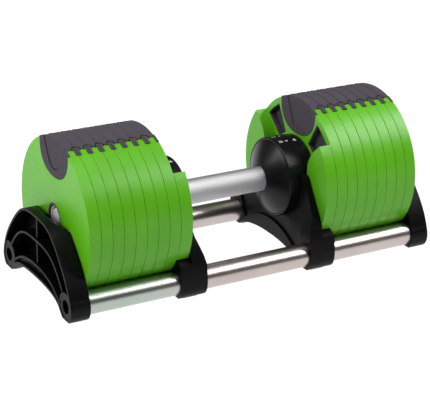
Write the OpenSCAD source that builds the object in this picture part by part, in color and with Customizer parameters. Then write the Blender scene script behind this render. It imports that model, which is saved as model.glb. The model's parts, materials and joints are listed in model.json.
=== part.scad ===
// Adjustable dumbbell in its storage tray.
// X runs along the dumbbell, Z is up, the floor is Z = 0 and the origin is under the middle.
// Eight plates a side hang on half-round selector shafts. Turning the grip turns a cam sleeve,
// whose helical slots draw both shafts out of the plates, one plate for every click.

/* [Plates] */
// Outer radius of the weight plates
plate_r = 89; // [86:0.5:90]
// Distance from one plate to the next along the handle
plate_pitch = 13.44; // [13.2:0.02:13.6]
// Gap between neighbouring plates
plate_gap = 0.12; // [0.1:0.02:0.3]
// Distance from the middle to the first plate
head_x = 99.6; // [99.4:0.1:100.4]
// Edge chamfer of the plates
plate_chamfer = 0.4; // [0.3:0.1:0.8]
// Length of the two counterweight lobes on the first plate
lobe_len = 14.4; // [12:0.1:14.6]

/* [Plate inserts] */
// Half width of the insert's flanges
flange_half_w = 36.4; // [34:0.2:38]
// Half width of the insert's neck between its flanges
neck_half_w = 28; // [25:0.5:30]
// Thickness of each flange of the insert
flange_t = 3; // [2.5:0.1:3.5]
// Height of the insert's lowest point above the handle axis
shield_bottom = 46.6; // [44:0.2:50]
// Depth of the V groove that takes the next plate's tongue
groove_depth = 1.6; // [1.2:0.1:2.4]

/* [Handle] */
// Outer radius of the knurled grip
grip_r = 14.4; // [14.2:0.1:15]
// Outer radius of the weight dials
dial_r = 45.7; // [44:0.1:46]
// Radius of the half-round selector shafts
shaft_r = 10.4; // [10.2:0.05:10.4]
// Angle between two clicks of the grip
click_deg = 20; // [16:1:20]

/* [Tray] */
// Outer radius of the two tray tubes
tube_r = 13.35; // [12.7:0.05:13.5]
// Distance of each tube from the middle plane
tube_y = 75.4; // [75:0.1:76]
// Height of the tube axes above the floor
tube_z = 18.2; // [17.8:0.1:20]
// Height of the handle axis above the tube axes
axis_rise = 69.65; // [69.4:0.05:70.4]
// Length of the end brackets along the tubes
outer_bracket_len = 22.6; // [20:0.2:26]
// Thickness of the brackets' walls and ribs
wall = 2.6; // [2.2:0.1:3]

/* [Hidden] */
$fn = 96;
plates = 8;
axis_z = tube_z + axis_rise;
plate_t = plate_pitch - plate_gap;
head_end = head_x + plates * plate_pitch - plate_gap;

bush_r = 16;
bush_bore_r = shaft_r + 0.4;
flat_gap = 0.15;
guide_flat = 0.03;
insert_gap = 0.15;
insert_rise = 0.8;
end_recess = 2;
lobe_top_deg = 50.5;
lobe_bottom_deg = 117;
lobe_inner_y = 46.4;
pocket_deg = [29.5, 49.5];
pocket_r = [48, 82];
pocket_depth = 9;

tip_recess = 2;
shaft_len = 148;
nose_len = 44;
shaft_tip_x = head_end - tip_recess;
shaft_park_x = 97;
shaft_travel = shaft_tip_x - shaft_park_x;
pin_from_end = 6;
pin_r = 2.4;
pin_rest_x = shaft_tip_x - shaft_len + pin_from_end;
turn_deg = plates * click_deg;

core_bore_r = shaft_r + 0.1;
core_r = 11.7;
sleeve_bore_r = 11.8;
sleeve_r = 12.85;
grip_bore_r = 12.9;
sleeve_half = 69;
grip_half = 80;
slot_half_w = 2.8;
slot_steps = 24;

dial_front_x = 51;
dial_back_x = 85.4;
dial_rim_x = 66;
dial_notch_r = [36.8, 40.9];
dial_screw_x = 76;
hub_x = [86.2, 98.8];
hub_r = 45.2;
lock_x = 92.5;
lock_r = 2.6;
plunger_deg = 60;
plunger_ring_r = 29;

bracket_x = head_end + 0.3;
outer_face_x = bracket_x + outer_bracket_len;
boss_r = 15.8;
bolt_bore_r = 7.7;
roof_low = 67.2;
roof_high = 76.6;
tube_end_x = bracket_x + 9.4;
tube_bore_r = tube_r - 2;
foot_z = 0.9;
outer_foot_z = 0.4;
end_ring_r = 13.5;
end_seat = 4.2;
foot_y = 75.6;
pad_r = 4;
outer_pad = [220.3, 2.6];
inner_pad = [82.5, 7.5];
inner_x = [66.5, 99];
horn_x = 84.4;
saddle_r = 46.6;
clamp_x = 70;
rear_horn_z = 52;

lime = "limegreen";
nylon = "#2b2a2f";
moulded = "#1b1b1d";
steel = "silver";

// ---------- helpers ----------

// Points along a smooth curve through p, with n steps between two of them
function curve(p, n = 4) = concat(
    [for (i = [0 : len(p) - 2], j = [0 : n - 1])
        let (a = p[max(i - 1, 0)], b = p[i], c = p[i + 1], d = p[min(i + 2, len(p) - 1)], t = j / n)
        0.5 * (2 * b + (c - a) * t + (2 * a - 5 * b + 4 * c - d) * t * t
            + (3 * b - a - 3 * c + d) * t * t * t)],
    [p[len(p) - 1]]);

function reversed(p) = [for (i = [len(p) - 1 : -1 : 0]) p[i]];
function flipped(p) = [for (q = p) [-q[0], q[1]]];

// A half outline that starts and ends on the middle plane, made whole
function whole(p) = concat(p, reversed(flipped([for (i = [1 : len(p) - 2]) p[i]])));

// A band of thickness t along the curve p
function normal_at(p, i) =
    let (d = p[min(i + 1, len(p) - 1)] - p[max(i - 1, 0)]) [-d[1], d[0]] / norm(d);
function shifted(p, t) = [for (i = [0 : len(p) - 1]) p[i] + t * normal_at(p, i)];
function band(p, t) = concat(shifted(p, t / 2), reversed(shifted(p, -t / 2)));

// The side of an insert seen along the handle: a rounded shield that is open at the rim
function shield(half_w, bottom, power = 2.3, top = 80) = concat(
    [for (i = [0 : 14]) let (a = 90 - i * 90 / 14)
        [half_w * pow(cos(a), 2 / power), top - (top - bottom) * pow(sin(a), 2 / power)]],
    [[half_w, plate_r + 3], [0, plate_r + 3]]);

// A V that widens upwards, for the groove and the tongue
function vee(inset) = curve([[0, 52.5 + inset], [6 - inset, 53.3 + inset],
    [10 - inset, 56 + inset], [13.5 - inset, 62], [17 - inset, 70], [21.5 - inset, 79],
    [27.5 - inset, 92], [28 - inset, 96]], 2);

// The sunken field on the outer face of the last insert
function end_frame(inset) = curve([[0, 55 + inset], [6 - inset, 55.8 + inset],
    [11.5 - inset, 60 + inset], [15.5 - inset, 66], [20 - inset, 74], [25 - inset, 83],
    [30 - inset, 95]], 3);

// Extrudes a YZ outline along X
module along_x(from, to) {
    translate([from, 0, 0]) rotate([90, 0, 90]) linear_extrude(to - from) children();
}

// Extrudes an XZ outline along Y, centred
module along_y(width) {
    rotate([90, 0, 0]) translate([0, 0, -width / 2]) linear_extrude(width) children();
}

module x_rod(r, from, to) {
    translate([from, 0, 0]) rotate([0, 90, 0]) cylinder(r = r, h = to - from);
}

// Turns a profile of [radius, x] points about the handle's direction
module turned(profile) {
    rotate([0, 90, 0]) rotate_extrude() polygon(profile);
}

module on_axis() {
    translate([0, 0, axis_z]) children();
}

// side is 1 for the +X end and -1 for the -X end
module on_side(side) {
    mirror([side < 0 ? 1 : 0, 0, 0]) children();
}

module both_sides() {
    for (side = [-1, 1]) on_side(side) children();
}

module at_tubes() {
    for (y = [-tube_y, tube_y]) translate([0, y, tube_z]) children();
}

module upper_half(r, from, to, flat) {
    intersection() {
        x_rod(r, from, to);
        translate([from, -r, flat]) cube([to - from, 2 * r, r]);
    }
}

// The left shaft is the upper half of a round bar and the right one is the lower half
module half_of(side) {
    rotate([side < 0 ? 0 : 180, 0, 0]) children();
}

// ---------- plates ----------

module lobe_outline() {
    corner = [for (a = [lobe_top_deg : 16.625 : lobe_bottom_deg]) 1.02 * plate_r * [sin(a), cos(a)]];
    low = lobe_inner_y / tan(180 - lobe_bottom_deg);
    inner = curve([[lobe_inner_y, -low], [lobe_inner_y, 20], [47, 28], [50.5, 37], [57, 46]], 3);
    polygon(concat(corner, inner));
}

module pocket_outline(shrink = 0) {
    r = pocket_r + [shrink, -shrink];
    a = pocket_deg + [shrink, -shrink];
    outer = [for (t = [0 : 0.25 : 1]) let (g = a[0] + t * (a[1] - a[0])) r[1] * [sin(g), cos(g)]];
    inner = [for (t = [1 : -0.25 : 0]) let (g = a[0] + t * (a[1] - a[0])) r[0] * [sin(g), cos(g)]];
    polygon(concat(outer, inner));
}

module insert_cut(x) {
    along_x(x - 1, x + flange_t) polygon(whole(shield(flange_half_w, shield_bottom)));
    along_x(x + plate_t - flange_t, x + plate_t + 1)
        polygon(whole(shield(flange_half_w, shield_bottom)));
    along_x(x, x + plate_t) polygon(whole(shield(neck_half_w, shield_bottom + 7)));
}

module plate(side, k) {
    x = head_x + (k - 1) * plate_pitch;
    c = plate_chamfer;
    color(lime) on_axis() on_side(side) difference() {
        union() {
            turned([[bush_r, x], [plate_r - c, x], [plate_r, x + c], [plate_r, x + plate_t - c],
                [plate_r - c, x + plate_t], [bush_r, x + plate_t]]);
            if (k == 1)
                for (m = [0, 1]) mirror([0, m, 0]) intersection() {
                    along_x(x - lobe_len - 1, x + 1) lobe_outline();
                    turned([[0, x - lobe_len], [plate_r - c, x - lobe_len],
                        [plate_r, x - lobe_len + c], [plate_r, x + 1], [0, x + 1]]);
                }
        }
        insert_cut(x);
        if (k == 1)
            for (m = [0, 1]) mirror([0, m, 0])
                along_x(x - 1, x + pocket_depth) pocket_outline();
    }
}

// The thin black cup that lines a pocket of the first plate
module pocket_liner(x) {
    difference() {
        along_x(x + 0.4, x + pocket_depth) pocket_outline(0.15);
        along_x(x, x + pocket_depth - 1.5) pocket_outline(1);
    }
}

module insert(side, k) {
    x = head_x + (k - 1) * plate_pitch;
    g = insert_gap;
    r = plate_r + insert_rise;
    flange = whole(shield(flange_half_w - g, shield_bottom + g));
    color(nylon) on_axis() on_side(side) {
        difference() {
            intersection() {
                turned([[0, x], [r - 0.4, x], [r, x + 0.4], [r, x + plate_t - 0.4],
                    [r - 0.4, x + plate_t], [0, x + plate_t]]);
                union() {
                    along_x(x, x + flange_t - g) polygon(flange);
                    along_x(x + plate_t - flange_t + g, x + plate_t) polygon(flange);
                    along_x(x + g, x + plate_t - g)
                        polygon(whole(shield(neck_half_w - g, shield_bottom + 7 + g)));
                }
            }
            along_x(x - 1, x + groove_depth) polygon(whole(vee(0)));
            if (k == plates) {
                along_x(x + plate_t - end_recess / 2, x + plate_t + 1) polygon(whole(end_frame(0)));
                difference() {
                    along_x(x + plate_t - end_recess, x + plate_t + 1)
                        polygon(whole(end_frame(0)));
                    along_x(x + plate_t - end_recess - 1, x + plate_t + 2)
                        polygon(whole(end_frame(0.9)));
                }
            }
        }
        if (k < plates)
            intersection() {
                x_rod(r - 0.3, x, x + 2 * plate_t);
                along_x(x + plate_t - 0.5, x + plate_pitch + groove_depth - 0.4)
                    polygon(whole(vee(0.5)));
            }
        difference() {
            x_rod(bush_r - 0.05, x, x + plate_t);
            x_rod(bush_bore_r, x - 1, x + plate_t + 1);
            turned([[0, x + plate_t - 2.4], [bush_bore_r - 0.2, x + plate_t - 2.4],
                [13.4, x + plate_t + 0.1], [0, x + plate_t + 0.1]]);
            if (k == plates)
                x_rod(end_ring_r + 0.05, x + plate_t - end_seat, x + plate_t + 1);
        }
        if (k == 1)
            for (m = [0, 1]) mirror([0, m, 0]) pocket_liner(x);
    }
}

// Steel ring round the shaft's end, pressed into the bush of the last plate
module end_ring(side) {
    seat = head_end - end_seat;
    color(steel) on_axis() on_side(side)
        turned([[bush_bore_r, seat], [end_ring_r, seat], [end_ring_r, head_end - 2],
            [end_ring_r - 0.5, head_end - 1.6], [12.4, head_end - 1.6],
            [bush_bore_r, head_end - 2.6]]);
}

// ---------- handle: what turns ----------

module grip_tube() {
    color(steel) on_axis() difference() {
        x_rod(grip_r, -grip_half, grip_half);
        x_rod(grip_bore_r, -grip_half - 1, grip_half + 1);
    }
}

// One helical slot, cut as a chain of short straight cuts; the pin starts in it at rest_x
module cam_slot(rest_x, start_deg) {
    mid_r = (sleeve_r + sleeve_bore_r) / 2;
    run = -sign(rest_x) * shaft_travel;
    arc = mid_r * turn_deg * PI / 180;
    step = norm([run, arc]) / slot_steps;
    for (i = [0 : slot_steps])
        rotate([start_deg - turn_deg * i / slot_steps, 0, 0])
            translate([rest_x + run * i / slot_steps, 0, mid_r])
                rotate([0, 0, atan(arc / run)])
                    cube([step + 0.3, 2 * slot_half_w, 4], center = true);
    for (i = [0, slot_steps])
        rotate([start_deg - turn_deg * i / slot_steps, 0, 0])
            translate([rest_x + run * i / slot_steps, 0, mid_r - 2])
                cylinder(r = slot_half_w + 0.05, h = 4, $fn = 32);
}

module cam_sleeve() {
    color("goldenrod") on_axis() difference() {
        x_rod(sleeve_r, -sleeve_half, sleeve_half);
        x_rod(sleeve_bore_r, -sleeve_half - 1, sleeve_half + 1);
        cam_slot(-pin_rest_x, 0);
        cam_slot(pin_rest_x, 180);
    }
}

module dial(side) {
    f = dial_front_x;
    m = dial_rim_x;
    b = dial_back_x;
    color(moulded) on_axis() on_side(side) difference() {
        turned([[grip_r + 0.05, f + 0.8], [15.6, f], [20, f + 1.6], [26, f + 4.3], [32, f + 7.3],
            [38, f + 10.6], [43, f + 13.6], [43.3, f + 14.2], [44.6, f + 13.8], [45.4, f + 14.2],
            [dial_r, m], [dial_r, b - 0.6], [dial_r - 0.6, b], [dial_notch_r[0], b],
            [dial_notch_r[0], m], [22, f + 7], [22, b - 0.4], [grip_r + 0.05, b - 0.4]]);
        for (i = [0 : 17])
            rotate([180 + i * 20, 0, 0])
                translate([b - 3, -2, 0]) cube([4, 4, dial_notch_r[1]]);
        for (a = [90, -90])
            rotate([a, 0, 0]) translate([dial_screw_x, 0, 12]) cylinder(r = 2, h = 12, $fn = 24);
    }
}

module dial_screws() {
    color("dimgray") on_axis() both_sides()
        for (a = [90, -90])
            rotate([a, 0, 0]) translate([dial_screw_x, 0, grip_r + 0.05]) difference() {
                cylinder(r = 1.95, h = 6, $fn = 24);
                translate([0, 0, 4]) cylinder(r = 1.1, h = 3, $fn = 6);
            }
}

// ---------- handle: what lifts but does not turn ----------

module core_tube() {
    slot_w = 2 * pin_r + 0.4;
    slot_len = shaft_travel + 2 * pin_r + 0.6;
    color("gray") on_axis() difference() {
        x_rod(core_r, -shaft_park_x - 1.4, shaft_park_x + 1.4);
        x_rod(core_bore_r, -shaft_park_x - 3, shaft_park_x + 3);
        translate([-pin_rest_x - pin_r - 0.3, -slot_w / 2, 0]) cube([slot_len, slot_w, 14]);
        translate([pin_rest_x + pin_r + 0.3 - slot_len, -slot_w / 2, -14])
            cube([slot_len, slot_w, 14]);
    }
}

module hubs() {
    color(moulded) on_axis() both_sides() difference() {
        turned([[core_r + 0.05, hub_x[0]], [hub_r - 0.5, hub_x[0]], [hub_r, hub_x[0] + 0.5],
            [hub_r, hub_x[1] - 0.8], [hub_r - 0.8, hub_x[1]], [core_r + 0.05, hub_x[1]]]);
        translate([lock_x, 0, -hub_r - 1]) cylinder(r = lock_r + 0.1, h = 30.2, $fn = 32);
        translate([hub_x[0] - 1, -1.9, -40.8]) cube([lock_x - hub_x[0] + 1, 3.8, 9.2]);
        rotate([plunger_deg, 0, 0]) translate([0, 0, plunger_ring_r])
            x_rod(3.1, hub_x[0] - 1, hub_x[1] - 1.6);
        for (a = [90, -90])
            rotate([a, 0, 0]) translate([lock_x, 0, core_r]) cylinder(r = 2.5, h = hub_r, $fn = 32);
    }
}

// Flanged bushes: the grip and the dials turn on them
module grip_bushes() {
    color("ivory") on_axis() both_sides()
        turned([[core_r + 0.05, 70], [grip_bore_r - 0.08, 70], [grip_bore_r - 0.08, 85.3],
            [21, 85.3], [21, hub_x[0]], [core_r + 0.05, hub_x[0]]]);
}

// Spring plungers that click against the back of each dial
module detent_plungers() {
    color("silver") on_axis() both_sides()
        rotate([plunger_deg, 0, 0]) translate([0, 0, plunger_ring_r]) {
            difference() {
                x_rod(3, hub_x[0] + 0.2, hub_x[1] - 1.7);
                x_rod(1.9, hub_x[0], hub_x[1] - 4);
            }
            translate([hub_x[0] + 0.4, 0, 0]) sphere(r = 1.8, $fn = 32);
        }
}

module hub_screws() {
    color("dimgray") on_axis() both_sides()
        for (a = [90, -90])
            rotate([a, 0, 0]) translate([lock_x, 0, core_r + 0.05]) difference() {
                cylinder(r = 2.45, h = 9, $fn = 32);
                translate([0, 0, 6.4]) cylinder(r = 1.4, h = 4, $fn = 6);
            }
}

// Coil springs that push the lock pins down
module lock_springs() {
    wire_r = 0.45;
    coil_r = 1.9;
    coils = 5;
    color("silver") on_axis() both_sides()
        translate([lock_x, 0, -25.2])
            linear_extrude(9, twist = -360 * coils, slices = 14 * coils, $fn = 8)
                translate([coil_r, 0]) circle(r = wire_r, $fn = 8);
}

// The pins drop and lock the dials as soon as the dumbbell leaves the tray
module lock_pins() {
    color("silver") on_axis() both_sides() {
        translate([lock_x, 0, -45.6]) cylinder(r1 = lock_r - 0.8, r2 = lock_r, h = 0.8, $fn = 32);
        translate([lock_x, 0, -44.8]) cylinder(r = lock_r, h = 19, $fn = 32);
        translate([dial_back_x - 2, -1.7, -36.4]) cube([lock_x - dial_back_x + 2, 3.4, 4.4]);
    }
}

// ---------- selector shafts ----------

// Round at the nose, half-round behind it, so that the parked shafts lie side by side
module selector_shaft(side) {
    color(steel) on_axis() on_side(side) half_of(side) difference() {
        turned([[0, shaft_tip_x - shaft_len], [shaft_r, shaft_tip_x - shaft_len],
            [shaft_r, shaft_tip_x - 2.6], [9.6, shaft_tip_x - 1.5], [8, shaft_tip_x - 0.7],
            [5, shaft_tip_x - 0.2], [0, shaft_tip_x]]);
        translate([shaft_tip_x - shaft_len - 1, -20, flat_gap - 40])
            cube([shaft_len - nose_len + 1, 40, 40]);
        translate([pin_rest_x, 0, 5]) cylinder(r = pin_r, h = 8, $fn = 32);
    }
}

module follower_pin(side) {
    color("dimgray") on_axis() on_side(side) half_of(side)
        translate([pin_rest_x, 0, 5]) cylinder(r = pin_r, h = 7.7, $fn = 32);
}

// ---------- tray ----------

module tray_tube(y) {
    color("lightgray") translate([0, y, tube_z]) difference() {
        x_rod(tube_r, -tube_end_x, tube_end_x);
        x_rod(tube_bore_r, -tube_end_x - 1, tube_end_x + 1);
    }
}

// Threaded plugs in the tube ends take the bolts
module tube_plugs() {
    color("gray") both_sides() at_tubes() difference() {
        x_rod(tube_bore_r - 0.05, tube_end_x - 15, tube_end_x);
        x_rod(4, tube_end_x - 16, tube_end_x + 1);
    }
}

module tube_bolts() {
    head = tube_end_x + 2.6;
    color("dimgray") both_sides() at_tubes() difference() {
        union() {
            x_rod(3.95, head - 15, head);
            x_rod(6.4, head, head + 4);
        }
        x_rod(3, head + 1.5, head + 5, $fn = 6);
    }
}

// Half outline from the top middle round the foot to the bottom middle, about the tube axes
function outer_half() = concat(
    curve([[0, 76.4], [14, 76.1], [27, 74.2], [38, 69.8], [48, 62.6], [58, 53], [67, 43],
        [75, 33], [82.4, 21.5], [87.8, 9.5], [90.4, 0], [90.3, -6], [88, -11.4],
        [84.2, -15.5], [79.8, outer_foot_z - tube_z]], 4),
    curve([[71.4, outer_foot_z - tube_z], [66.5, -14.6], [62.5, -10.8], [57, -5.5], [48, -1.5],
        [36, 1], [18, 2.6], [0, 3]], 4));

module outer_shell(inset) {
    h = outer_half();
    polygon(whole(concat([[0, h[0][1] - inset]],
        [for (i = [1 : len(h) - 2]) shifted(h, -inset)[i]], [[0, h[len(h) - 1][1] + inset]])));
}

// Side view of a bracket from z up; its lower corners are rounded by rx and rz, more
// nearly straight where power is more than 1
function rounded_foot(from, to, z, rx, rz, top, power = 1) = concat(
    [[to, top], [from, top]],
    [for (a = [0 : 15 : 90]) [from + rx[0] * (1 - cos(a)), z + rz[0] * (1 - sin(a))]],
    [for (a = [90 : -15 : 0]) [to - rx[1] * (1 - pow(cos(a), power)),
        z + rz[1] * (1 - pow(sin(a), power))]]);

module rib(points, from, to) {
    along_x(from, to) polygon(band(points, wall - 0.2));
}

// The roof dips towards the plates, so that the shaft's end stays in view
module roof_slope(drop) {
    along_y(200)
        polygon([[bracket_x - 1, roof_low - drop], [bracket_x + 15.5, roof_high - drop],
            [bracket_x + 15.5, roof_high + 12], [bracket_x - 1, roof_high + 12]]);
}

module outer_bracket(side) {
    upper_rib = curve([[-68, 15], [-57, 28], [-43, 39.5], [-25, 45.6], [0, 47], [25, 45.6],
        [43, 39.5], [57, 28], [68, 15]], 4);
    lower_rib = curve([[-62, -2], [-50, 6], [-36, 12.6], [-18, 16.4], [0, 17.4], [18, 16.4],
        [36, 12.6], [50, 6], [62, -2]], 4);
    color(moulded) translate([0, 0, tube_z]) on_side(side) difference() {
        intersection() {
            union() {
                difference() {
                    along_x(bracket_x, outer_face_x) outer_shell(0);
                    along_x(bracket_x + wall, outer_face_x + 1) outer_shell(wall);
                }
                intersection() {
                    along_x(bracket_x, outer_face_x - 4) outer_shell(0.5);
                    union() {
                        roof_slope(3.2);
                        translate([0, 0, axis_rise]) x_rod(15.4, bracket_x, bracket_x + 11);
                    }
                }
                rib(upper_rib, bracket_x + 1, outer_face_x);
                rib(lower_rib, bracket_x + 1, outer_face_x);
                along_x(bracket_x + 1, outer_face_x - 5)
                    polygon(concat(lower_rib, [[58, -6], [36, 2], [0, 4], [-36, 2], [-58, -6]]));
                translate([bracket_x + 1, -wall / 2, 17]) cube([outer_bracket_len - 3, wall, 58]);
                for (y = [-tube_y, tube_y])
                    translate([0, y, 0]) x_rod(boss_r, bracket_x, outer_face_x - 0.6);
                for (y = [-1, 1])
                    translate([bracket_x, y * foot_y - 4.2, outer_foot_z - tube_z])
                        cube([outer_bracket_len - 1, 8.4, 6]);
            }
            along_y(200) polygon(rounded_foot(bracket_x, outer_face_x, outer_foot_z - tube_z,
                [6.5, 8], [5, 2.4], 90, 1.5));
        }
        roof_slope(0);
        translate([0, 0, axis_rise])
            turned([[0, bracket_x - 1], [13.4, bracket_x - 1], [13.4, bracket_x],
                [9.5, bracket_x + 8.5], [0, bracket_x + 8.5]]);
        for (y = [-tube_y, tube_y]) translate([0, y, 0]) {
            x_rod(tube_r + 0.05, bracket_x - 1, tube_end_x);
            x_rod(4.3, bracket_x, outer_face_x + 1);
            x_rod(bolt_bore_r, tube_end_x + 2.6, outer_face_x + 1);
        }
        foot_recess(outer_pad);
    }
}

// Rounded pads under the feet; spot is [middle, half length] along the tube
module pad(spot, r, from, to) {
    for (m = [-1, 1])
        translate([spot[0] + m * spot[1], 0, from]) cylinder(r = r, h = to - from, $fn = 48);
    translate([spot[0] - spot[1], -r, from]) cube([2 * spot[1], 2 * r, to - from]);
}

module foot_recess(spot) {
    for (y = [-foot_y, foot_y])
        translate([0, y, 0]) pad(spot, pad_r + 0.1, foot_z - tube_z - 1, foot_z - tube_z + 1.2);
}

module rubber_feet() {
    color("black") both_sides()
        for (y = [-foot_y, foot_y], spot = [outer_pad, inner_pad])
            translate([0, y, 0]) pad(spot, pad_r, 0, foot_z + 1.2);
}

function inner_half() = concat(
    curve([[47.4, 86], [50.5, 85.2], [54, 81.5], [60.6, 71.9], [70.3, 57.2], [79.9, 42.4],
        [85.2, 31], [89, 18], [91, 5], [90.6, -5], [88, -11.4], [84.2, -15.2],
        [79.8, foot_z - tube_z]], 4),
    curve([[71.4, foot_z - tube_z], [66.5, -14.4], [62, -11.4], [57, -9], [46, -6],
        [30, -3], [14, -1.6], [0, -1.4]], 4));

module inner_bracket(side) {
    c = axis_rise;
    arch = curve([[-55, -2], [-47, 4], [-38, 9], [-24, 14.2], [-8, 17], [8, 17], [24, 14.2],
        [38, 9], [47, 4], [55, -2]], 4);
    color(moulded) translate([0, 0, tube_z]) on_side(side) difference() {
        intersection() {
            along_x(inner_x[0], inner_x[1])
                polygon(whole(concat([[0, 86]], inner_half())));
            along_y(200) polygon(rounded_foot(inner_x[0], inner_x[1], foot_z - tube_z,
                [4, 4], [3, 3], 100));
            along_y(200)
                polygon([[inner_x[0], -30], [inner_x[0], 22], [inner_x[0] + 2, 30], [75, 50],
                    [76.5, 66], [76.5, 100], [inner_x[1] + 1, 100], [inner_x[1] + 1, -30]]);
        }
        // the cradle for the dial and the hub
        translate([0, 0, c]) {
            x_rod(saddle_r, inner_x[0] - 1, inner_x[1] + 1);
            translate([inner_x[0] - 1, -saddle_r, 0]) cube([40, 2 * saddle_r, 40]);
        }
        // room for the lobes of the first plate
        along_x(horn_x, inner_x[1] + 1) polygon([[-110, c + 40], [-110, c - 110 * 0.5095 - 1.4],
            [0, c - 1.4], [110, c - 110 * 0.5095 - 1.4], [110, c + 40]]);
        // the rear horn is lower than the front one
        translate([inner_x[0] - 1, 40, rear_horn_z]) cube([40, 60, 40]);
        // the web stands back behind the lip of the arch
        along_x(inner_x[0] - 1, inner_x[0] + 2.4)
            polygon(concat(arch, [[60, 8], [66, 20], [65, 34], [57, 48], [-57, 48], [-65, 34],
                [-66, 20], [-60, 8]]));
        for (y = [-tube_y, tube_y]) translate([0, y, 0])
            x_rod(tube_r + 0.05, inner_x[0] - 1, inner_x[1] + 1);
        // seat and thread of the clamp screw over the rear tube
        translate([inner_x[0] - 1, tube_y - 6, 18]) cube([9.5, 12, 40]);
        translate([clamp_x, tube_y, 10]) cylinder(r = 2, h = 12, $fn = 32);
        foot_recess(inner_pad);
    }
    // stud that pushes the lock pin up while the dumbbell is docked
    color(moulded) on_side(side) translate([lock_x, 0, axis_z - 48])
        cylinder(r = 4, h = 2, $fn = 32);
}

module clamp_screws() {
    color("silver") both_sides() translate([clamp_x, tube_y, tube_z + tube_r + 0.1])
        difference() {
            union() {
                cylinder(r = 1.95, h = 6, $fn = 32);
                translate([0, 0, 4.6]) cylinder(r = 3.3, h = 2.8, $fn = 32);
            }
            translate([0, 0, 5.8]) cylinder(r = 1.5, h = 3, $fn = 6);
        }
}

// ---------- what is drawn ----------

for (s = [["left", -1], ["right", 1]], k = [1 : plates]) {
    plate(s[1], k);
    insert(s[1], k);
}
for (s = [["left", -1], ["right", 1]]) {
    outer_bracket(s[1]);
    inner_bracket(s[1]);
    dial(s[1]);
    selector_shaft(s[1]);
    follower_pin(s[1]);
    end_ring(s[1]);
}
tray_tube(-tube_y);  // front_tube
tray_tube(tube_y);  // rear_tube
tube_bolts();
tube_plugs();
rubber_feet();
clamp_screws();
grip_tube();
cam_sleeve();
dial_screws();
core_tube();
hubs();
grip_bushes();
detent_plungers();
hub_screws();
lock_springs();
lock_pins();
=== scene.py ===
import json
import math

import bmesh
import bpy
from mathutils import Matrix, Vector


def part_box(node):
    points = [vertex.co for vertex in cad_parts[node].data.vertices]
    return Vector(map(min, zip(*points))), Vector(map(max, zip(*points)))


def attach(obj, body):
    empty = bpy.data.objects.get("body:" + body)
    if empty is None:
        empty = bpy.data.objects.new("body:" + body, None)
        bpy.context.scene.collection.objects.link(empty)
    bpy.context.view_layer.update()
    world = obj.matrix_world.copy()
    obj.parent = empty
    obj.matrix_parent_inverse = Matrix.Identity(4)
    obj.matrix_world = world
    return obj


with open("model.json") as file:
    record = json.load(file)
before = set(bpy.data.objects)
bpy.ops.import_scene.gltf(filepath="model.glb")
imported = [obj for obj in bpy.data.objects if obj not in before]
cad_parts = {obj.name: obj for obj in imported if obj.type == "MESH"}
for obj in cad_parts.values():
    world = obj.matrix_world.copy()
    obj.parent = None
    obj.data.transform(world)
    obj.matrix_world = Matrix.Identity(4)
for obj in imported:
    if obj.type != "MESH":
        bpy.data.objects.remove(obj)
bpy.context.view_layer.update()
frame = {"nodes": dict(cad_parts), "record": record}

# Lengths are in metres, as in the frame, unless a name or a docstring says millimetres.
MM = 0.001
SIDES = {"left": -1, "right": 1}  # the sign of X
PLATES = 8  # on each side
KNURL_TEETH = 48  # ridges round the grip
KNURL_PITCH_MM = 1.9  # from ridge to ridge along the grip
STEP_DEG = 20  # the grip's turn from one click to the next
INDEX_DEG = 12  # the hub's index, from the top towards the viewer
SHARP_DEG = 32  # edges sharper than this get rounded and stay crisp
INK_LIFT = 0.00006  # how far printed ink stands off the surface under it


def middle(node):
    """The middle of a CAD node's box."""
    low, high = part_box(node)
    return (low + high) / 2


def half_width(node):
    """Half of a CAD node's box along Y, which is its radius if it is round."""
    low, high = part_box(node)
    return (high.y - low.y) / 2


def inner_end(node):
    """How far a CAD node's inner end is from the middle, along X."""
    return min(abs(corner.x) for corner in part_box(node))


def outer_end(node):
    """How far a CAD node's outer end is from the middle, along X."""
    return max(abs(corner.x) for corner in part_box(node))


AXIS_Z = middle("grip_tube").z
PLATE_R = half_width("plate_left_3")
INSERT_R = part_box("insert_left_3")[1].z - AXIS_Z
DIAL_R = half_width("dial_left")
HUB_R = DIAL_R - 0.5 * MM
HEAD_X = inner_end("insert_right_1")


# ---------- camera, light and floor ----------

def make_camera():
    """The photograph's view: yaw to the right of +Y, pitch below the horizon."""
    yaw, pitch, roll = math.radians(30.18), math.radians(22.57), math.radians(1.54)
    forward = Vector((math.sin(yaw) * math.cos(pitch), math.cos(yaw) * math.cos(pitch),
                      -math.sin(pitch)))
    level = Vector((math.cos(yaw), -math.sin(yaw), 0))
    upward = level.cross(forward)
    right = math.cos(roll) * level + math.sin(roll) * upward
    up = -math.sin(roll) * level + math.cos(roll) * upward
    data = bpy.data.cameras.new("camera")
    data.lens = 135.1
    data.clip_end = 50
    camera = bpy.data.objects.new("camera", data)
    bpy.context.scene.collection.objects.link(camera)
    camera.matrix_world = Matrix((right, up, -forward)).transposed().to_4x4()
    camera.location = (-0.8615, -1.4689, AXIS_Z + 0.68435)
    bpy.context.scene.camera = camera


def add_softbox(name, place, size, power):
    """A rectangular light at place, turned to the handle's middle, of so many watts."""
    data = bpy.data.lights.new(name, "AREA")
    data.shape = "RECTANGLE"
    data.size, data.size_y = size
    data.energy = power
    light = bpy.data.objects.new(name, data)
    bpy.context.scene.collection.objects.link(light)
    light.location = place
    towards = Vector((0, 0, AXIS_Z)) - Vector(place)
    light.rotation_euler = towards.to_track_quat("-Z", "Y").to_euler()


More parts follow.
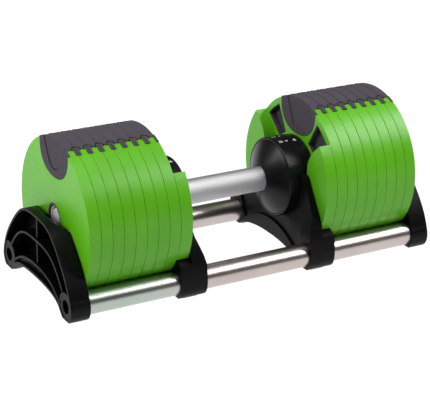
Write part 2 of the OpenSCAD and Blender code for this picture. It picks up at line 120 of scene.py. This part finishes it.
def make_sky():
    """White all round, its level set by height, and dimmer in front than behind."""
    ends = (0.95, 0.75)
    between = ((0.12, 0.8), (0.25, 0.6), (0.5, 0.8), (0.8, 1.0))
    front_y, back_y, front_level, back_level = -0.3, 0.8, 0.8, 1.9
    world = bpy.data.worlds.new("studio")
    bpy.context.scene.world = world
    world.use_nodes = True
    tree = world.node_tree
    direction = tree.nodes.new("ShaderNodeTexCoord")
    parts = tree.nodes.new("ShaderNodeSeparateXYZ")
    tree.links.new(direction.outputs["Generated"], parts.inputs[0])
    by_height = tree.nodes.new("ShaderNodeValToRGB")
    tree.links.new(parts.outputs["Z"], by_height.inputs["Fac"])
    elements = by_height.color_ramp.elements
    for element, level in zip(elements, ends):
        element.color = (level, level, level, 1)
    for height, level in between:
        elements.new(height).color = (level, level, level, 1)
    by_depth = tree.nodes.new("ShaderNodeMapRange")
    for i, value in enumerate((front_y, back_y, front_level, back_level), 1):
        by_depth.inputs[i].default_value = value
    tree.links.new(parts.outputs["Y"], by_depth.inputs[0])
    product = tree.nodes.new("ShaderNodeMath")
    product.operation = "MULTIPLY"
    tree.links.new(by_height.outputs["Color"], product.inputs[0])
    tree.links.new(by_depth.outputs["Result"], product.inputs[1])
    tree.links.new(product.outputs[0], tree.nodes["Background"].inputs["Strength"])


def make_studio():
    """The white sky, and softboxes at the right, above and at the left."""
    make_sky()
    add_softbox("key_box", (1.25, -0.7, 1.62), (1.45, 0.7), 32)
    add_softbox("top_box", (-0.2, -0.1, 1.7), (1.0, 0.8), 18)
    add_softbox("left_box", (-1.5, 0.4, 0.75), (1.0, 0.8), 18)
    bpy.context.scene.view_settings.view_transform = "Standard"


def make_floor():
    """A plain white floor, evenly bright."""
    mesh = bpy.data.meshes.new("floor")
    half = 6
    mesh.from_pydata([(-half, -half, 0), (half, -half, 0), (half, half, 0), (-half, half, 0)],
                     [], [(0, 1, 2, 3)])
    floor = bpy.data.objects.new("floor", mesh)
    bpy.context.scene.collection.objects.link(floor)
    floor.location.z = -0.2 * MM
    g = Graph("studio_floor")
    g.set(base=(0.05, 0.05, 0.05), rough=0.9, specular=0)
    g.shader.inputs["Emission Color"].default_value = (1, 1, 1, 1)
    g.shader.inputs["Emission Strength"].default_value = 1.03
    floor.data.materials.append(g.mat)


# ---------- materials ----------

class Graph:
    """A procedural material, with short calls for its nodes. Lengths are in millimetres."""

    def __init__(self, name):
        self.mat = bpy.data.materials.new(name)
        self.mat.use_nodes = True
        self.tree = self.mat.node_tree
        self.shader = self.tree.nodes["Principled BSDF"]
        self.where = self.add("ShaderNodeTexCoord").outputs["Object"]

    def add(self, kind, **settings):
        node = self.tree.nodes.new(kind)
        for key, value in settings.items():
            setattr(node, key, value)
        return node

    def link(self, source, target):
        self.tree.links.new(source, target)

    def set(self, base=None, rough=None, specular=None, metal=None):
        """Sets the shader's own sockets, for what is the same all over."""
        for socket, value in (("Roughness", rough), ("Specular IOR Level", specular),
                              ("Metallic", metal)):
            if value is not None:
                self.shader.inputs[socket].default_value = value
        if base is not None:
            self.shader.inputs["Base Color"].default_value = (*base, 1)

    def noise(self, size, detail=3, stretch=(1, 1, 1)):
        """Noise whose features are about size millimetres across, longer along a small stretch."""
        mapping = self.add("ShaderNodeMapping")
        mapping.inputs["Scale"].default_value = stretch
        self.link(self.where, mapping.inputs["Vector"])
        noise = self.add("ShaderNodeTexNoise")
        noise.inputs["Scale"].default_value = 1 / (size * MM)
        noise.inputs["Detail"].default_value = detail
        self.link(mapping.outputs["Vector"], noise.inputs["Vector"])
        return noise.outputs["Fac"]

    def ramp(self, source, low, high, colours):
        """The first colour where source is low, blending to the second where it is high."""
        ramp = self.add("ShaderNodeValToRGB")
        ramp.color_ramp.elements[0].position = low
        ramp.color_ramp.elements[1].position = high
        for element, colour in zip(ramp.color_ramp.elements, colours):
            element.color = (*colour, 1)
        self.link(source, ramp.inputs["Fac"])
        return ramp.outputs["Color"]

    def span(self, source, low, high, to_low, to_high):
        """Maps source from low..high to to_low..to_high, and clamps it."""
        node = self.add("ShaderNodeMapRange")
        for i, value in enumerate((low, high, to_low, to_high), 1):
            node.inputs[i].default_value = value
        self.link(source, node.inputs[0])
        return node.outputs["Result"]

    def math(self, operation, a, b=None):
        """A Math node on sockets or plain numbers."""
        node = self.add("ShaderNodeMath", operation=operation)
        for socket, value in zip(node.inputs, (a, b)):
            if value is None:
                continue
            if isinstance(value, (int, float)):
                socket.default_value = value
            else:
                self.link(value, socket)
        return node.outputs["Value"]

    def bumps(self, *layers):
        """Each layer is (height, depth in mm, strength); they add up."""
        last = None
        for height, depth, strength in layers:
            bump = self.add("ShaderNodeBump")
            bump.inputs["Distance"].default_value = depth * MM
            bump.inputs["Strength"].default_value = strength
            self.link(height, bump.inputs["Height"])
            if last is not None:
                self.link(last, bump.inputs["Normal"])
            last = bump.outputs["Normal"]
        self.link(last, self.shader.inputs["Normal"])

    def base(self, colour):
        self.link(colour, self.shader.inputs["Base Color"])

    def rough(self, value):
        self.link(value, self.shader.inputs["Roughness"])


def green_coat():
    """Satin powder coat over turned steel: orange peel, and faint turning lines on the rim."""
    g = Graph("green_coat")
    g.base(g.ramp(g.noise(45, detail=4), 0.35, 0.7,
                  [(0.09, 0.375, 0.0055), (0.101, 0.411, 0.0071)]))
    g.rough(g.span(g.noise(6, detail=5), 0.3, 0.7, 0.3, 0.4))
    turning = g.noise(0.9, detail=3, stretch=(1, 0.012, 0.012))
    g.bumps((turning, 0.03, 0.25), (g.noise(1.5, detail=2), 0.04, 0.22),
            (g.noise(0.35, detail=1), 0.02, 0.2))
    g.set(specular=0.36)
    return g.mat


def nylon_insert():
    """Moulded glass-filled nylon with a spark-eroded texture and rubbed patches."""
    g = Graph("nylon_insert")
    g.base(g.ramp(g.noise(1.2, detail=5), 0.3, 0.7,
                  [(0.056, 0.049, 0.059), (0.082, 0.071, 0.085)]))
    g.rough(g.span(g.noise(2.5, detail=4), 0.3, 0.7, 0.42, 0.58))
    g.bumps((g.noise(0.55, detail=2), 0.05, 0.5), (g.noise(4, detail=3), 0.05, 0.2))
    g.set(specular=0.01)
    return g.mat


def tray_plastic():
    """Black polypropylene with a fine moulded grain and a faint flow pattern."""
    g = Graph("tray_plastic")
    flow = g.noise(14, detail=5, stretch=(0.4, 1, 1))
    g.base(g.ramp(flow, 0.3, 0.75, [(0.0022, 0.0022, 0.0024), (0.0036, 0.0035, 0.0038)]))
    g.rough(g.span(g.noise(4, detail=5), 0.3, 0.7, 0.34, 0.46))
    g.bumps((g.noise(0.5, detail=2), 0.035, 0.35), (flow, 0.05, 0.1))
    g.set(specular=0.1)
    return g.mat


def dial_plastic(name):
    """Semi-gloss black plastic with light handling marks."""
    g = Graph(name)
    marks = g.noise(7, detail=6, stretch=(1, 1, 0.5))
    g.base(g.ramp(g.noise(20, detail=4), 0.3, 0.75,
                  [(0.0035, 0.0035, 0.0043), (0.0055, 0.0055, 0.0066)]))
    g.rough(g.span(marks, 0.3, 0.7, 0.3, 0.36))
    g.bumps((g.noise(0.7, detail=1), 0.01, 0.12))
    g.set(specular=0.22)
    return g.mat


def polished_tube():
    """Polished steel, drawn lengthwise, with a painted reflection tint in its colour; the left end
    is cooler than the rest, as photographed.
    """
    cool_reflection_until, warm_reflection_from = -0.13, -0.06
    g = Graph("polished_tube")
    split = g.add("ShaderNodeSeparateXYZ")
    g.link(g.where, split.inputs[0])
    lengthwise = g.noise(0.5, detail=3, stretch=(0.02, 1, 1))
    # painted reflection: the colour blends from a cool greenish tint at the left end to a warm
    # pinkish one, standing in for what the tube reflects
    cool_to_warm_reflection = g.span(split.outputs["X"], cool_reflection_until, warm_reflection_from, 0, 1)
    cool_reflection_colour = g.ramp(g.noise(60, detail=2), 0.3, 0.7, [(0.42, 0.47, 0.42), (0.47, 0.52, 0.47)])
    warm_reflection_colour = g.ramp(g.noise(60, detail=2), 0.3, 0.7, [(0.5, 0.435, 0.415), (0.56, 0.49, 0.465)])
    painted_reflection_tint = g.add("ShaderNodeMix", data_type="RGBA")
    g.link(cool_to_warm_reflection, painted_reflection_tint.inputs["Factor"])
    g.link(cool_reflection_colour, painted_reflection_tint.inputs[6])
    g.link(warm_reflection_colour, painted_reflection_tint.inputs[7])
    g.base(painted_reflection_tint.outputs[2])
    g.rough(g.span(lengthwise, 0.3, 0.7, 0.28, 0.34))
    g.bumps((lengthwise, 0.001, 0.15))
    g.set(metal=1)
    return g.mat


def knurled_steel():
    """Fine diamond knurl: two sets of helical ridges round the grip, crossing each other, with
    painted shade darkening the grooves.
    """
    g = Graph("knurled_steel")
    split = g.add("ShaderNodeSeparateXYZ")
    g.link(g.where, split.inputs[0])
    height = g.math("SUBTRACT", split.outputs["Z"], AXIS_Z)
    turn = g.math("MULTIPLY", g.math("ARCTAN2", split.outputs["Y"], height), KNURL_TEETH)
    along = g.math("MULTIPLY", split.outputs["X"], math.tau / (KNURL_PITCH_MM * MM))
    ridges = [g.math("ABSOLUTE", g.math("SINE", g.math("MULTIPLY", g.math(way, turn, along), 0.5)))
              for way in ("ADD", "SUBTRACT")]
    knurl = g.math("MULTIPLY", *ridges)
    # painted shade: the colour darkens from the knurl's tops down into its grooves
    g.base(g.ramp(knurl, 0.1, 0.8, [(0.28, 0.275, 0.285), (0.8, 0.79, 0.81)]))
    g.rough(g.span(g.noise(3, detail=4), 0.3, 0.7, 0.48, 0.56))
    g.bumps((knurl, 0.3, 0.6), (g.noise(0.5, detail=3), 0.05, 0.6))
    g.set(metal=1)
    return g.mat


def metal(name, low, high, rough):
    """Plain metal: turned, ground or plated, by its two colours and its roughness."""
    g = Graph(name)
    lines = g.noise(0.4, detail=4)
    g.base(g.ramp(g.noise(12, detail=4), 0.3, 0.7, [low, high]))
    g.rough(g.span(lines, 0.3, 0.7, rough - 0.07, rough + 0.07))
    g.bumps((lines, 0.01, 0.3))
    g.set(metal=1)
    return g.mat


def satin_nickel():
    """Pale satin plating on the selector shafts and the end rings."""
    g = Graph("shaft_steel")
    lines = g.noise(0.4, detail=4, stretch=(0.05, 1, 1))
    g.base(g.ramp(g.noise(12, detail=4), 0.3, 0.7, [(0.74, 0.73, 0.71), (0.84, 0.83, 0.81)]))
    g.rough(g.span(lines, 0.3, 0.7, 0.36, 0.46))
    g.bumps((lines, 0.01, 0.3))
    g.set(metal=0.35)
    return g.mat


def printed_white():
    """Pad-printed ink, slightly worn."""
    g = Graph("printed_white")
    g.base(g.ramp(g.noise(0.7, detail=4), 0.3, 0.6, [(0.6, 0.6, 0.6), (0.86, 0.86, 0.85)]))
    g.rough(g.span(g.noise(1, detail=3), 0.3, 0.7, 0.4, 0.55))
    g.bumps((g.noise(0.3, detail=2), 0.01, 0.3))
    return g.mat


def rubber():
    """Dull black rubber, slightly mottled."""
    g = Graph("foot_rubber")
    g.base(g.ramp(g.noise(3, detail=4), 0.3, 0.7, [(0.012, 0.012, 0.012), (0.022, 0.022, 0.021)]))
    g.rough(g.span(g.noise(2, detail=4), 0.3, 0.7, 0.72, 0.88))
    g.bumps((g.noise(0.4, detail=2), 0.05, 0.5))
    return g.mat


def pale_plastic():
    """Ivory bearing plastic."""
    g = Graph("bush_plastic")
    g.base(g.ramp(g.noise(6, detail=4), 0.3, 0.7, [(0.62, 0.6, 0.53), (0.7, 0.68, 0.61)]))
    g.rough(g.span(g.noise(3, detail=4), 0.3, 0.7, 0.4, 0.52))
    g.bumps((g.noise(0.5, detail=2), 0.02, 0.3))
    return g.mat


def make_materials():
    """The material for each slot of the record."""
    return {
        "green_coat": green_coat(),
        "nylon_insert": nylon_insert(),
        "tray_plastic": tray_plastic(),
        "dial_plastic": dial_plastic("dial_plastic"),
        "hub_plastic": dial_plastic("hub_plastic"),
        "tube_chrome": polished_tube(),
        "grip_steel": knurled_steel(),
        "shaft_steel": satin_nickel(),
        "plain_steel": metal("plain_steel", (0.3, 0.3, 0.31), (0.4, 0.4, 0.41), 0.42),
        "pin_steel": metal("pin_steel", (0.4, 0.4, 0.42), (0.5, 0.5, 0.52), 0.3),
        "bronze": metal("bronze", (0.42, 0.27, 0.1), (0.52, 0.35, 0.15), 0.35),
        "bush_plastic": pale_plastic(),
        "black_screw": metal("black_screw", (0.03, 0.03, 0.032), (0.05, 0.05, 0.052), 0.36),
        "bright_screw": metal("bright_screw", (0.5, 0.5, 0.5), (0.62, 0.62, 0.62), 0.26),
        "foot_rubber": rubber(),
    }


# ---------- CAD nodes ----------

def smoothing_group():
    """Geometry nodes that shade smooth, apart from the edges sharper than SHARP_DEG."""
    group = bpy.data.node_groups.new("smooth_by_angle", "GeometryNodeTree")
    group.interface.new_socket("Geometry", in_out="INPUT", socket_type="NodeSocketGeometry")
    group.interface.new_socket("Geometry", in_out="OUTPUT", socket_type="NodeSocketGeometry")
    start = group.nodes.new("NodeGroupInput")
    end = group.nodes.new("NodeGroupOutput")
    faces = group.nodes.new("GeometryNodeSetShadeSmooth")
    faces.domain = "FACE"
    edges = group.nodes.new("GeometryNodeSetShadeSmooth")
    edges.domain = "EDGE"
    angle = group.nodes.new("GeometryNodeInputMeshEdgeAngle")
    flat_enough = group.nodes.new("FunctionNodeCompare")
    flat_enough.operation = "LESS_THAN"
    flat_enough.inputs["B"].default_value = math.radians(SHARP_DEG)
    group.links.new(angle.outputs["Unsigned Angle"], flat_enough.inputs["A"])
    group.links.new(flat_enough.outputs[0], edges.inputs["Shade Smooth"])
    group.links.new(start.outputs[0], faces.inputs["Geometry"])
    group.links.new(faces.outputs[0], edges.inputs["Geometry"])
    group.links.new(edges.outputs[0], end.inputs[0])
    return group


def soften(obj, width, smoothing):
    """Rounds an object's sharp edges by width millimetres and smooths its curved faces."""
    weld = obj.modifiers.new("weld", "WELD")
    weld.merge_threshold = 0.002 * MM
    bevel = obj.modifiers.new("rounded_edges", "BEVEL")
    bevel.width = width * MM
    bevel.segments = 2
    bevel.limit_method = "ANGLE"
    bevel.angle_limit = math.radians(SHARP_DEG)
    smooth = obj.modifiers.new("smooth", "NODES")
    smooth.node_group = smoothing
    obj.modifiers.new("weighted_normals", "WEIGHTED_NORMAL").keep_sharp = True


# How far the edges are rounded, by material slot; the other slots stay as they are.
EDGE_MM = {"green_coat": 0.1, "nylon_insert": 0.18, "tray_plastic": 0.5, "dial_plastic": 0.25,
           "hub_plastic": 0.3, "shaft_steel": 0.2, "plain_steel": 0.2, "bronze": 0.15}


def dress_cad_nodes(materials):
    """Every CAD node gets its slot's material; those whose slot is in EDGE_MM also get smooth
    shading and soft edges.
    """
    slot_of = {s["node"]: s["material_slot"] for s in frame["record"]["subparts"]}
    smoothing = smoothing_group()
    for name, obj in frame["nodes"].items():
        obj.data.materials.clear()
        slot = slot_of[name]
        obj.data.materials.append(materials[slot])
        if slot in EDGE_MM:
            soften(obj, EDGE_MM[slot], smoothing)


# ---------- printed marks, joint lines and painted groove shade ---

def add_piece(name, bm, body, material):
    """Closes bm into a smooth piece that rides on body."""
    bmesh.ops.recalc_face_normals(bm, faces=bm.faces)
    mesh = bpy.data.meshes.new(name)
    bm.to_mesh(mesh)
    bm.free()
    for face in mesh.polygons:
        face.use_smooth = True
    mesh.materials.append(material)
    obj = bpy.data.objects.new(name, mesh)
    bpy.context.scene.collection.objects.link(obj)
    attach(obj, body)


def round_the_axis(x, degrees, radius):
    """A point at x, at degrees from the top towards the viewer, radius from the handle's axis."""
    angle = math.radians(degrees)
    return Vector((x, -radius * math.sin(angle), AXIS_Z + radius * math.cos(angle)))


def wrapped_text(bm, text, height, x, degrees, radius):
    """Adds flat figures to bm, bent round the handle's axis and centred on x and degrees."""
    curve = bpy.data.curves.new("figures", "FONT")
    curve.body = text
    curve.size = height
    curve.align_x = "CENTER"
    curve.align_y = "CENTER"
    curve.resolution_u = 3
    holder = bpy.data.objects.new("figures", curve)
    flat = bpy.data.meshes.new_from_object(holder)
    start = len(bm.verts)
    bm.from_mesh(flat)
    bm.verts.ensure_lookup_table()
    for vertex in bm.verts[start:]:
        turn = degrees - math.degrees(vertex.co.y / radius)
        vertex.co = round_the_axis(x + vertex.co.x, turn, radius)
    bpy.data.objects.remove(holder)
    bpy.data.meshes.remove(flat)
    bpy.data.curves.remove(curve)


def wrapped_patch(bm, outline, radius):
    """A flat-backed mark: outline is (x, degrees) corners on a cylinder round the axis."""
    bm.faces.new([bm.verts.new(round_the_axis(x, degrees, radius)) for x, degrees in outline])


def dial_marks(side, ink):
    """The dial's figures, one for each click, a tick beside each, and the index on the hub."""
    sign = SIDES[side]
    figures_in, figure_height = 0.0207, 0.0058
    tick_near, tick_far, tick_half_deg = 0.0062, 0.0092, 1.1
    index_gap, index_length, index_half_deg = 0.002, 0.0042, 3.2

    figures_x = inner_end(f"dial_{side}") + figures_in
    near, far = sign * (figures_x + tick_near), sign * (figures_x + tick_far)
    radius = DIAL_R + INK_LIFT
    bm = bmesh.new()
    for step in range(PLATES + 1):
        at = INDEX_DEG - STEP_DEG * step
        wrapped_text(bm, str(4 * (PLATES + 1 - step)), figure_height, sign * figures_x, at, radius)
        wrapped_patch(bm, [(near, at - tick_half_deg), (far, at - tick_half_deg),
                           (far, at + tick_half_deg), (near, at + tick_half_deg)], radius)
    add_piece(f"dial_figures_{side}", bm, "grip", ink)

    tip = outer_end(f"dial_{side}") + index_gap
    foot = sign * (tip + index_length)
    bm = bmesh.new()
    wrapped_patch(bm, [(sign * tip, INDEX_DEG), (foot, INDEX_DEG - index_half_deg),
                       (foot, INDEX_DEG + index_half_deg)], HUB_R + INK_LIFT)
    add_piece(f"hub_index_{side}", bm, "handle_core", ink)


def bead(bm, points, radius):
    """Adds a thin round bead to bm, along points, with closed ends."""
    sides = 6
    rings = []
    for i, point in enumerate(points):
        along = (points[min(i + 1, len(points) - 1)] - points[max(i - 1, 0)]).normalized()
        outward = Vector((0, point.y, point.z - AXIS_Z)).normalized()
        across = along.cross(outward)
        rings.append([bm.verts.new(point + radius * (math.cos(t) * outward + math.sin(t) * across))
                      for t in (math.tau * n / sides for n in range(sides))])
    for a, b in zip(rings, rings[1:]):
        for n in range(sides):
            bm.faces.new((a[n], a[(n + 1) % sides], b[(n + 1) % sides], b[n]))
    bm.faces.new(rings[0])
    bm.faces.new(rings[-1])


def lobe_seams(side, plastic):
    """The fine joint line between the first plate and its two lobes."""
    x = SIDES[side] * (HEAD_X - 0.0001)
    first_deg, last_deg, step_deg, seam_r = 52, 115, 3, 0.0002
    bm = bmesh.new()
    for front in (-1, 1):
        bead(bm, [round_the_axis(x, front * degrees, PLATE_R - 0.00004)
                  for degrees in range(first_deg, last_deg + 1, step_deg)], seam_r)
    add_piece(f"lobe_seams_{side}", bm, f"weight_{side}_1", plastic)


def finger_arch(edge, inward, sign, front):
    """Points of a quarter arch beside one edge of an insert, and its short run down the finger."""
    arch_r, root_y, run, gap = 0.0044, 0.0283, 0.0016, 0.0002
    steps = 8
    flat = []
    for n in range(steps + 1):
        t = math.pi / 2 * n / steps
        flat.append((gap + arch_r * math.sin(t), root_y - arch_r * math.cos(t)))
    flat.append((gap + arch_r, root_y + run))
    return [round_the_axis(sign * (edge + inward * along),
                           front * math.degrees(across / INSERT_R), INSERT_R + 0.0001)
            for along, across in flat]


def insert_groove_shade(side, k, plastic):
    """Dark arcs over the roots of the insert's fingers, half on each insert: painted shade
    standing in for the shadow in the grooves there.
    """
    bead_r, clearance = 0.00042, 0.00034
    if k == 1:
        near = inner_end(f"insert_{side}_1")
        far = inner_end(f"plate_{side}_2") - clearance
    else:
        near, far = inner_end(f"plate_{side}_{k}"), outer_end(f"plate_{side}_{k}")
    bm = bmesh.new()
    for front in (-1, 1):
        if k > 1:
            bead(bm, finger_arch(near, 1, SIDES[side], front), bead_r)
        if k < PLATES:
            bead(bm, finger_arch(far, -1, SIDES[side], front), bead_r)
    add_piece(f"insert_groove_shade_{side}_{k}", bm, f"weight_{side}_{k}", plastic)


# ---------- the scene ----------

make_camera()
make_studio()
make_floor()
materials = make_materials()
dress_cad_nodes(materials)
ink = printed_white()
for side in SIDES:
    dial_marks(side, ink)
    lobe_seams(side, materials["tray_plastic"])
    for k in range(1, PLATES + 1):
        # dark plastic arcs: painted shade for the grooves over the finger roots
        insert_groove_shade(side, k, materials["tray_plastic"])
